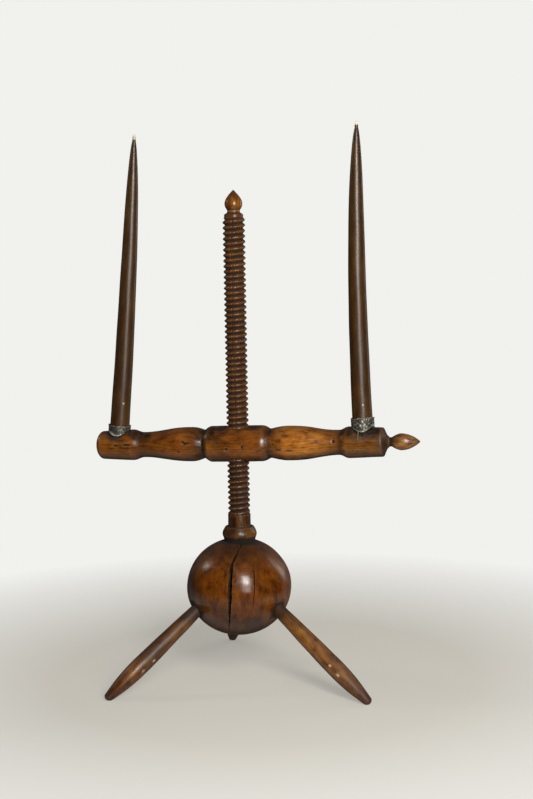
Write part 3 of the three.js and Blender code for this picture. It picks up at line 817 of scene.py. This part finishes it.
def worn_thread(point):
    """Lets the thread run in at the shank, turns it down to the shoulder, chips its crests and nicks them
    where the post has split."""
    out = point.xy.to_3d()
    radius = out.length
    if radius < 1:
        return point
    out.normalize()
    cut = min(max((point.z - SHANK_TOP) / RUN_IN, 0), 1)
    radius = SHANK_RADIUS - 0.1 + (radius - SHANK_RADIUS + 0.1) * cut
    down = max((point.z - THREAD_TOP + RUN_OUT) / RUN_OUT, 0)
    radius = min(radius, CREST_RADIUS + 1 + (SHOULDER_RADIUS - CREST_RADIUS - 1) * down)
    height = (radius - ROOT_RADIUS) / (CREST_RADIUS - ROOT_RADIUS)
    chip = max(lumps(point, 3.2, 2.6) - 0.12, 0)
    radius -= height * (CREST_CHIP * chip + CREST_WEAR * noise.noise(point / 1.7))
    azimuth = degrees(atan2(point.y, point.x))
    away = abs((azimuth - crack_azimuth(point.z) + 180) % 360 - 180)
    nick = max(1 - radians(away) * radius / CRACK_HALF_WIDTH, 0)
    radius -= CRACK_NICK * nick * max(height, 0.25)
    return out * radius + Vector((0, 0, point.z))


def make_post():
    foot = (
        Outline(-POST_TENON_LENGTH, POST_TENON_RADIUS)
        .on(POST_TENON_LENGTH + SEAT_GAP, POST_TENON_RADIUS)
        .on(0, COLLAR_FOOT_RADIUS)
        .on(COLLAR_FOOT_HEIGHT - SEAT_GAP, COLLAR_FOOT_RADIUS)
        .on(BEAD_RISE, BEAD_RADIUS, ogee, row=0.6)
        .on(BEAD_FALL, COLLAR_TOP_RADIUS, fall, row=0.6)
        .on(COLLAR_COVE, SHANK_RADIUS, swell, row=0.4)
    )
    foot.on(SHANK_TOP - foot.points[-1][0], SHANK_RADIUS).on(1, SHANK_RADIUS - 3)
    post = turned("screw_post_turned", foot, sides=POST_SIDES)
    aged(post, depth=0.2, size=8)
    thread = threaded_rod("thread", SHANK_TOP - 2, THREAD_TOP + 0.5, 0, sides=POST_SIDES)
    reshape(thread, worn_thread)
    head = (
        Outline(THREAD_TOP - PITCH, ROOT_RADIUS - 1)
        .on(PITCH - SHOULDER_RISE, ROOT_RADIUS - 1)
        .on(SHOULDER_RISE, SHOULDER_RADIUS, row=0.4)
        .on(SHOULDER_LENGTH, SHOULDER_RADIUS, row=0.4)
        .on(SHOULDER_FALL, NECK_RADIUS, ogee, row=0.4)
        .on(NECK_LENGTH, NECK_RADIUS, row=0.4)
    )
    top = head.points[-1][0]
    combined(post, thread, "UNION")
    combined(post, turned("head", head, sides=POST_SIDES), "UNION")
    bore = rod(ACORN_SPIGOT_RADIUS + SEAT_GAP, top - ACORN_SPIGOT_LENGTH - SEAT_GAP, top + OVERSHOOT, 32)
    combined(post, bore)
    mended(post)
    # The foot under the collar's bead is black: seam dirt and a painted shadow.
    grime_and_painted_light(post, lambda point: (7 - point.z) / 3)
    finished(
        post, post_frame, "base", "screw_post", "worn_wood", "Threaded fruitwood post, worn crests",
        polished_wood, crease=0.55, edge=0.5, colours=POST_COLOURS, soil="#120802", bare="#80542e",
        pith=(20, 11, 0),
    )


def make_finial(node, body, place, outline, spigot, uneven, grime, look, **finish):
    """A finial with its spigot, which is a radius, a length and how far it runs into the finial. The grime
    is black up to a station and thins out over a length above it."""
    finial = turned(node + "_turned", outline, sides=64)
    aged(finial, depth=uneven, size=5)
    radius, length, inside = spigot
    combined(finial, rod(radius, -length, inside, 32), "UNION")
    clean_from, fade = grime
    grime_and_painted_light(finial, lambda point: (clean_from - point.z) / fade)
    finished(
        finial, place, body, node, "honey_wood", look, polished_wood, crease=0.3, edge=0.6, **finish
    )


def make_post_finial():
    acorn = (
        Outline(SHUT_SEAM, NECK_RADIUS)
        .on(ACORN_NECK_LENGTH, NECK_RADIUS, row=0.4)
        .on(ACORN_RISE, ACORN_RADIUS, rise, row=0.4)
        .on(ACORN_NOSE, 0, fall, row=0.5)
    )
    top = THREAD_TOP + SHOULDER_LENGTH + SHOULDER_FALL + NECK_LENGTH
    colours = [(-12, "#3e240c"), (2, "#50300d"), (10, "#7e5020"), (16, "#885726"), (24, "#74441a")]
    make_finial(
        "post_finial", "turn_carrier", frame_in(post_frame, z=top), acorn,
        (ACORN_SPIGOT_RADIUS, ACORN_SPIGOT_LENGTH, 3), 0.12, (-ACORN_SPIGOT_LENGTH, 1),
        "Turned fruitwood acorn, old wax", colours=colours, pith=(14, 6, 0), shine=0.18,
    )


# Arm

def bar_side(side):
    """One side of the bar, from the post's axis out to the end of its block."""
    outline = Outline(0, HUB_RADIUS).on(side["hub_half"] - side["corner"], HUB_RADIUS, row=BAR_ROW)
    for length, radius, shape in (
        ("corner", "waist_radius", fall), ("waist_length", "waist_radius", straight),
        ("belly_rise", "belly_radius", rise), ("belly_length", "belly_radius", straight),
        ("neck_run", "neck_radius", ogee), ("shoulder_run", "block_radius", ogee),
        ("block_length", "end_radius", straight),
    ):
        outline.on(side[length], side[radius], shape, BAR_ROW)
    return outline


def block_start(side):
    runs = ("hub_half", "waist_length", "belly_rise", "belly_length", "neck_run", "shoulder_run")
    return sum(side[run] for run in runs)


arm_end = block_start(ARM_RIGHT) + ARM_RIGHT["block_length"] + RIGHT_ROUND + RIGHT_CONE + RIGHT_NECK


def turned_bar():
    """The bar with its axis along +Z."""
    left = bar_side(ARM_LEFT).on(LEFT_DOME, 0, tuck, BAR_ROW)
    right = (
        bar_side(ARM_RIGHT)
        .on(RIGHT_ROUND, RIGHT_ROUND_RADIUS, tuck, row=0.5)
        .on(RIGHT_CONE, RIGHT_CONE_RADIUS, row=BAR_ROW)
        .on(RIGHT_NECK, BUD_NECK_RADIUS, row=BAR_ROW)
    )
    outline = Outline(0)
    mirrored = [(-station, radius) for station, radius in reversed(left.points)]
    outline.points = mirrored[:-1] + right.points
    return turned("cross_arm_turned", outline, sides=144)


BAR_MARKS = [
    # station, degrees over the front, half length, half width, depth
    (-8.3, -10.8, 2.0, 1.8, 1.0), (9.7, -4.7, 1.7, 2.2, 1.0), (-18.9, 10.5, 1.3, 1, 0.5),
    (29.3, -16.3, 2.1, 1.3, 0.3), (26.5, -20, 1.3, 1, 0.4), (-139, 4.5, 3.6, 1.3, 0.9),
    (-125.8, 7, 5.5, 1.5, 1), (-56.4, 9, 2.8, 1.8, 0.9), (-59, 15, 2.6, 1.2, 0.8), (-53, 10, 2.6, 1, 0.8),
    (-64.2, -18.7, 2.2, 2, 0.3), (60.5, 33.4, 1.2, 1, 0.5), (52.8, 15, 1.2, 1, 0.5),
    (50.5, -16.1, 4.4, 0.9, 0.5), (63, -19.2, 5.2, 0.9, 0.5), (44.5, 3, 1.2, 1.2, 0.4),
    (112, 12.6, 2.2, 2.2, 1), (133.5, -24, 1.5, 1.5, 0.2), (138.5, -27, 1.3, 1.3, 0.2),
    (156, 31, 3.1, 2.1, 0.3), (-20, 150, 1.6, 1.3, 0.6), (40, 190, 2.1, 1.6, 0.5), (-70, 170, 3.9, 1, 0.5),
    (95, 160, 1.4, 1.4, 0.6), (-110, 200, 1.6, 1.6, 0.6), (70, 230, 3.1, 1, 0.5),
]
BAR_STAINS = [
    # station, degrees over the front, half length, half width and strength
    (-30, 50, 10, 16, 1.4), (-14, 62, 10, 9, 1.2), (-36, 5, 5, 22, 0.9), (-19, 12, 8, 9, 0.7),
    (-117, 60, 10, 12, 1.3), (-104, 45, 7, 8, 0.7), (155, 55, 10, 12, 1.2), (126, 50, 9, 11, 1.1),
    (20, 70, 12, 8, 0.6), (-60, 200, 20, 14, 0.6), (90, 170, 24, 12, 0.6), (10, 190, 14, 12, 0.7),
    (-140, 170, 12, 10, 0.6),
]
BAR_COLOURS = [
    (-166, "#50300c"), (-158, "#7c4c14"), (-125, "#8a5416"), (-108, "#5e360c"), (-60, "#8c5215"),
    (-40, "#3c1f06"), (-30, "#7c4c15"), (24, "#8a5017"), (38, "#4a2a0a"), (46, "#8a561e"), (60, "#b8782c"),
    (95, "#b27428"), (120, "#643a10"), (126, "#744a1a"), (158, "#744c20"), (164, "#554030"),
    (172, "#3b2d20"),
]
CUP_GRIME = 6  # how far from a cup the bar is black
END_GRIME = 163  # the station where its dark end starts


def bar_grime(holders):
    """The bar is black round the cups and at its turned end."""
    frames = [(holder["place"].inverted() @ bar_frame, holder["cup_radius"]) for holder in holders]

    def amount(point):
        dark = min(max((point.z - END_GRIME) / 3, 0), 0.45)
        ragged = 1 + 0.9 * noise.noise(point / 4)
        for into, cup_radius in frames:
            from_cup = into @ (point * MM) / MM
            away = hypot(from_cup.x, from_cup.y) - cup_radius
            if from_cup.z > -CUP_GRIME * 2:
                dark = max(dark, (1 - away / (CUP_GRIME * ragged)) * 1.2)
        return dark

    return amount


def painted_underside_shade(point):
    """The bar's underside is darkened as painted shade, where less light falls."""
    return 1.7 * (point.x / hypot(point.x, point.y, 1) - 0.45)


def make_bar(holders):
    bar = turned_bar()
    aged(bar, depth=0.3, size=10, stretch=2)
    into_bar = bar_frame.inverted()
    reach = HUB_RADIUS + PITCH
    screw = threaded_rod("screw", ARM_HEIGHT - reach, ARM_HEIGHT + reach, THREAD_PLAY, sides=64)
    combined(bar, placed(screw, into_bar @ post_frame))
    bore_floor = arm_end - BUD_SPIGOT_LENGTH - SEAT_GAP
    combined(bar, rod(BUD_SPIGOT_RADIUS + SEAT_GAP, bore_floor, arm_end + OVERSHOOT, 32))
    for holder in holders:
        socket = rod(holder["cup_radius"] + SEAT_GAP, -holder["cup_depth"] - SEAT_GAP, OVERSHOOT, 64)
        combined(bar, placed(socket, into_bar @ holder["place"]))
    for layer, places in (("marks_and_shade", BAR_MARKS), ("stains_and_shade", BAR_STAINS)):
        strike(bar, layer, [(station, FRONT - up, *rest) for station, up, *rest in places])
    grime_and_painted_light(bar, bar_grime(holders))
    # Painted shade on the bar's underside
    grime_and_painted_light(bar, painted_underside_shade, "stains_and_shade")
    finished(
        bar, bar_frame, "arm", "cross_arm", "honey_wood", "Turned fruitwood bar, old wax", polished_wood,
        crease=0.4, edge=0.5, colours=BAR_COLOURS, pith=(26, 40, 0), shine=0.22,
    )


def make_arm_finial():
    bud = (
        Outline(SHUT_SEAM, BUD_NECK_RADIUS)
        .on(BUD_NECK_LENGTH, BUD_NECK_RADIUS, row=0.4)
        .on(BUD_RISE, BUD_RADIUS, rise, row=0.5)
        .on(BUD_NOSE, 0, nose, row=0.6)
    )
    colours = [(-14, "#2c2014"), (3, "#382a1c"), (12, "#986c3c"), (24, "#aa8052"), (34, "#523822")]
    make_finial(
        "arm_finial", "arm", frame_in(bar_frame, z=arm_end), bud,
        (BUD_SPIGOT_RADIUS, BUD_SPIGOT_LENGTH, BUD_NECK_LENGTH + 2), 0.15, (7, 5),
        "Turned fruitwood bud, old wax", colours=colours, pith=(12, 9, 0), shine=0.2,
    )


DRIP_STATION, DRIP_FROM, DRIP_LENGTH = 139.7, 48, 10.5  # on the bar, and degrees over its front
DRIP_RADIUS, DRIP_BULB, DRIP_SEAT = 0.8, 1.15, 17.1  # its seat is the bar's own radius there


def make_drip():
    """A drop of wax that ran down the bar in front of the right cup and set there."""
    drop = (
        Outline(0, DRIP_RADIUS)
        .on(DRIP_LENGTH - 2 * DRIP_BULB, DRIP_RADIUS, row=0.5)
        .on(DRIP_BULB, DRIP_BULB, ogee, row=0.2)
        .on(DRIP_BULB, 0, tuck, row=0.2)
    )
    drip = turned("wax_drip", drop, sides=16)

    def run_down(point):
        angle = FRONT - DRIP_FROM + degrees(point.z / DRIP_SEAT)
        return polar(angle, DRIP_SEAT + point.x, DRIP_STATION - point.y)

    reshape(drip, run_down)
    finished(
        drip, bar_frame, "arm", None, "candle_wax", "Old candle wax", dipped_wax,
        shades=("#463a1e", "#5c5030", "#6e623e"),
    )


# Cups, candles and wicks: heights are counted from the top of the bar's block, along the cup's axis

def holder_of(holder):
    side, sign = (ARM_LEFT, -1) if holder["side"] == "left" else (ARM_RIGHT, 1)
    station = block_start(side) + holder["along_block"]
    share = holder["along_block"] / side["block_length"]
    block_top = side["block_radius"] + (side["end_radius"] - side["block_radius"]) * share
    place = frame_in(arm_frame, x=sign * station, z=block_top, lean=holder["lean"])
    tip = holder["candle_length"] - holder["sunk"]
    rim_to_tip = tip - holder["rim_height"]
    tip_turn = degrees(atan(2 * holder["bow"] / rim_to_tip))
    bore_radius = holder["candle_radius"] + CANDLE_FIT
    return dict(
        holder, place=place, rim_to_tip=rim_to_tip, bore_radius=bore_radius,
        wick_place=frame_in(place, x=holder["bow"], z=tip, lean=tip_turn),
        cup_radius=bore_radius + CUP_WALL, cup_depth=holder["sunk"] + SEAT_GAP + CUP_WALL,
    )


def make_cup(holder, crumple, torn, lip_bearing, edge_rise, highlight_bearing):
    """A strip of soft sheet rolled to a tube and let into the bar. Its wall is crumpled and its rim torn,
    but only outwards, to leave the candle its room. Its lower edge carries a painted highlight on a scraped
    bright edge, and under that dirt with painted shade."""
    sizes = ("side", "cup_radius", "bore_radius", "cup_depth", "rim_height")
    side, radius, bore, depth, rim = (holder[size] for size in sizes)
    outside = (
        Outline(-depth, radius - CUP_CORNER)
        .on(CUP_CORNER, radius, swell, row=0.4)
        .on(depth - CUP_CORNER + rim - LIP_HEIGHT, radius, row=0.6)
        .on(LIP_HEIGHT, radius + LIP_FLARE, fall, row=0.4)
        .on(0, bore + LIP_FLARE, row=0.3)
        .on(-LIP_HEIGHT, bore, row=0.4)
        .on(CUP_WALL - depth - rim + LIP_HEIGHT, bore, row=0.8)
    )
    cup = turned("candle_cup_" + side + "_rolled", outside, sides=120)

    def beaten(point):
        out = point.xy.to_3d()
        if out.length < bore - 1 or point.z < -6:
            return point
        out.normalize()
        share = min(max((point.z + 6) / 10, 0), 1)
        rough = abs(noise.noise(Vector((out.x * 4.6, out.y * 4.6, point.z / 2.6)) + Vector((depth, 0, 0))))
        lip = max(cos(atan2(out.y, out.x) - radians(lip_bearing)), 0) ** 6
        up = max(point.z - rim + LIP_HEIGHT, 0) / LIP_HEIGHT
        spread = crumple * share * rough + 0.5 * lip * up
        ragged = noise.noise(Vector((out.x * 2.6, out.y * 2.6, depth)))
        return point + out * spread + Vector((0, 0, min(torn * ragged * up, 0.4)))

    reshape(cup, beaten)

    def over_edge(point):
        """How far a point is over the cup's lower edge, which follows the bar's round surface."""
        return point.z - edge_rise + DRIP_SEAT - sqrt(max(DRIP_SEAT**2 - point.y**2, 0))

    def scrape_and_highlight(point):
        # A painted highlight along the lower edge, strongest towards its bearing, over a scraped bright
        # edge
        rubbed = max(cos(atan2(point.y, point.x) - radians(highlight_bearing)), 0) ** 16
        over = over_edge(point) / (EDGE_WIDTH * (1 + 2 * rubbed))
        return max(1 - abs(over), 0) * min(1.8 * abs(noise.noise(point / 2.3)) + 0.1 + rubbed, 1)

    grime_and_painted_light(cup, scrape_and_highlight, "chips")
    # Dirt and painted shade under the lower edge
    grime_and_painted_light(cup, lambda point: -over_edge(point) / EDGE_WIDTH)
    finished(
        cup, holder["place"], "arm", "candle_cup_" + side, "cup_metal", "Tarnished sheet metal, " + side,
        dull_sheet, crease=0.25, edge=0.5,
    )


def make_candle(holder):
    """A dipped taper: it narrows evenly, rounds in to a blunt tip and is bowed above the cup's rim."""
    side, place, wick_place = holder["side"], holder["place"], holder["wick_place"]
    full, sunk, length = holder["candle_radius"], holder["sunk"], holder["candle_length"]
    outline = Outline(-sunk, full - CANDLE_FOOT_CHAMFER).on(CANDLE_FOOT_CHAMFER, full)
    for ring in range(1, CANDLE_RINGS + 1):
        share = sin(pi / 2 * ring / CANDLE_RINGS)
        narrowed = full * (1 - holder["taper"] * share)
        radius = narrowed * sqrt(max(1 - share ** holder["tip_power"], 0))
        station = length * share - sunk
        if station > outline.points[-1][0]:
            outline.points.append((station, max(radius, CANDLE_TIP_RADIUS)))
    candle = turned("candle_" + side + "_dipped", outline, sides=64)

    def bowed(point):
        over = max(0, point.z - holder["rim_height"])
        out = point.xy.to_3d()
        ripple = lumps(point, 9, 45) * min(over / 30, 1)
        skin = out.normalized() * 0.22 * ripple if out.length > 1 else Vector()
        return point + skin + Vector((holder["bow"] * (over / holder["rim_to_tip"]) ** 2, 0, 0))

    reshape(candle, bowed)
    hole = rod(WICK_RADIUS + SEAT_GAP, -WICK_DEPTH - SEAT_GAP, OVERSHOOT, 24)
    combined(candle, placed(hole, place.inverted() @ wick_place))
    finished(
        candle, place, side + "_candle", "candle_" + side, "candle_wax", "Dark dipped wax, " + side,
        dipped_wax, tip=length - sunk, pale_tip=holder["pale_tip"],
    )

    wick_outline = (
        Outline(-WICK_DEPTH, WICK_RADIUS)
        .on(WICK_DEPTH, WICK_RADIUS, row=0.5)
        .on(0.5, WICK_FRAYED_RADIUS, rise, row=0.2)
        .on(holder["wick_length"] - 0.5, WICK_FRAYED_RADIUS, row=0.4)
        .on(WICK_RADIUS / 2, WICK_RADIUS / 2, row=0.2)
    )
    wick = turned("wick_" + side + "_braided", wick_outline, sides=24)
    aged(wick, depth=0.15, size=0.7)
    finished(
        wick, wick_place, side + "_candle", "wick_" + side, "wick_cotton", "Braided cotton, " + side,
        braided_cotton,
    )


# The drop of wax low on each candle, pale as a painted highlight: how far it stands out, and how much
# longer it is than wide
DROP_RADIUS, DROP_PROUD, DROP_SAG = 1.2, 0.8, 1.2


def make_drop(holder):
    """A drop of wax that has set on the candle's side. Its pale colour is a painted highlight, a glint on
    the drop.
    """
    side, station = holder["side"], holder["drop_station"]
    bead = Outline(-DROP_RADIUS).on(DROP_RADIUS, DROP_RADIUS, swell, row=0.2)
    drop = turned("wax_drop_" + side, bead.on(DROP_RADIUS, 0, tuck, row=0.2), sides=20)
    over = (station - holder["rim_height"]) / holder["rim_to_tip"]
    narrowed = holder["candle_radius"] * (1 - holder["taper"] * station / holder["candle_length"])
    centre = polar(holder["drop_bearing"], narrowed - DROP_RADIUS + DROP_PROUD, station)
    centre.x += holder["bow"] * over**2
    reshape(drop, lambda point: point * Vector((1, 1, DROP_SAG)) + centre)
    finished(
        drop, holder["place"], side + "_candle", None, "candle_wax", "Candle wax with a painted glint, " + side,
        # A pale wax colour painted as a glint
        dipped_wax, shades=("#9c8c84", "#b0a098", "#c4b8b0"),
    )


# Room: pale floor and backdrop, two windows in front on the right, one behind on the right, and a small
# lamp on the left

CAMERA_FROM_POST = (487.2, -1699.1, 525.7)  # millimetres from the post's axis, over the floor
CAMERA_BEARING, CAMERA_PITCH, CAMERA_ROLL = 14.94, 83.323, -0.9635  # degrees
CAMERA_LENS, CAMERA_SENSOR = 72.09, 36  # millimetres
FLOOR_FADE = 0.24, 0.66  # metres from the middle, where the floor starts to fade and has faded
FLOOR_GLOW = 0.42
LAMPS = [
    # name, position, what it is aimed at, width and height in metres, radiance and colour
    ("window", (0.58, -1.07, 0.78), (0, 0, 0.3), 0.34, 0.5, 22, "#fffdf8"),
    ("tall_window", (0.66, -1.2, 0.5), (0, 0, 0.5), 0.42, 0.85, 7, "#fffdf8"),
    ("side_lamp", (-1.27, 0, 1), (0, 0, 0.2), 0.16, 0.16, 28, "#fff4e4"),
    ("right_window", (1.0, 1.15, 0.6), (0, 0, 0.2), 0.5, 0.9, 3.5, "#fffaf2"),
]


def seen(add):
    """1 where a ray comes from the camera, or was mirrored or bent on its way to it."""
    kinds = [add("LightPath", output=f"Is {kind} Ray") for kind in ("Camera", "Glossy", "Transmission")]
    shiny = add("Math", kinds[1:], operation="MAXIMUM")
    return kinds[0], add("Math", [kinds[0], shiny], operation="MAXIMUM")


def make_floor():
    """A matt pale ground that fades into the backdrop away from the candlestick. It throws little light
    up, and is made paler where it is seen, so that it keeps the shadow."""
    bpy.ops.mesh.primitive_plane_add(size=6)
    ground = bpy.context.active_object
    ground.name = "floor"
    material = bpy.data.materials.new("Pale matt floor")
    add = cleared(material)
    glow = add("Math", [seen(add)[1], FLOOR_GLOW], operation="MULTIPLY")
    matt = {"Base Color": rgb("#a5a29a"), "Roughness": 0.9, "Specular IOR Level": 0.1}
    matt |= {"Emission Color": rgb("#d8d5cd"), "Emission Strength": glow}
    here = add("TexCoord", output="Object")
    away = add("VectorMath", [here], output="Value", operation="LENGTH")
    share = add("MapRange", [away, *FLOOR_FADE, 0, 1])
    shaders = add("BsdfPrincipled", matt), add("BsdfTransparent")
    surface = add("MixShader", [share, *shaders])
    add("OutputMaterial", {"Surface": surface})
    ground.data.materials.append(material)


def make_world():
    """The backdrop is what the camera sees, and what glossy surfaces see behind the candlestick, and the
    rest of the room is dim. The soft light on matt surfaces is strongest from the front and above."""
    world = bpy.data.worlds.new("Pale room")
    bpy.context.scene.world = world
    add = cleared(world)
    direction = add("TexCoord", output="Generated")
    behind = Vector(CAMERA_FROM_POST).xy.to_3d().normalized() * -1
    facing = add("VectorMath", [direction, behind], output="Value", operation="DOT_PRODUCT")
    mirrored = add("MapRange", [facing, 0.82, 1, 0.04, 1])
    camera, either = seen(add)
    strength = add("Math", [mirrored, camera], operation="MAXIMUM")
    backdrop = add("Background", {"Color": rgb("#f1f1ee"), "Strength": strength})
    towards = Vector((0.4, -0.8, 0.45)).normalized()
    frontal = add("VectorMath", [direction, towards], output="Value", operation="DOT_PRODUCT")
    soft = add("MapRange", [frontal, -0.3, 1, 0.1, 0.34])
    room = add("Background", {"Color": rgb("#ffffff"), "Strength": soft})
    add("OutputWorld", {"Surface": add("MixShader", [either, room, backdrop])})


def make_lamp(name, position, aim, width, height, radiance, colour):
    data = bpy.data.lights.new(name, "AREA")
    data.shape, data.size, data.size_y = "RECTANGLE", width, height
    data.energy, data.color = radiance * pi * width * height, rgb(colour)[:3]
    lamp = linked(name, data)
    lamp.location = position
    lamp.visible_camera = False
    lamp.rotation_euler = (Vector(aim) - Vector(position)).to_track_quat("-Z", "Y").to_euler()


def make_camera():
    data = bpy.data.cameras.new("camera")
    data.lens, data.sensor_width = CAMERA_LENS, CAMERA_SENSOR
    camera = linked("camera", data)
    turn = Matrix()
    for angle, axis in ((CAMERA_BEARING, "Z"), (CAMERA_PITCH, "X"), (CAMERA_ROLL, "Z")):
        turn = turn @ Matrix.Rotation(radians(angle), 4, axis)
    x, y, z = CAMERA_FROM_POST
    camera.matrix_world = Matrix.Translation((post_x + x * MM, post_y + y * MM, z * MM)) @ turn
    bpy.context.scene.camera = camera


bpy.context.scene.view_settings.view_transform = "Standard"
make_camera()
make_world()
make_floor()
for lamp in LAMPS:
    make_lamp(*lamp)

make_ball()
make_legs()
make_post()
make_post_finial()
holders = [holder_of(LEFT_HOLDER), holder_of(RIGHT_HOLDER)]
make_bar(holders)
make_arm_finial()
make_drip()
make_cup(holders[0], crumple=0.45, torn=0.5, lip_bearing=200, edge_rise=0.7, highlight_bearing=-113)
make_cup(holders[1], crumple=0.7, torn=1.6, lip_bearing=20, edge_rise=2.2, highlight_bearing=40)
for holder in holders:
    make_candle(holder)
    make_drop(holder)
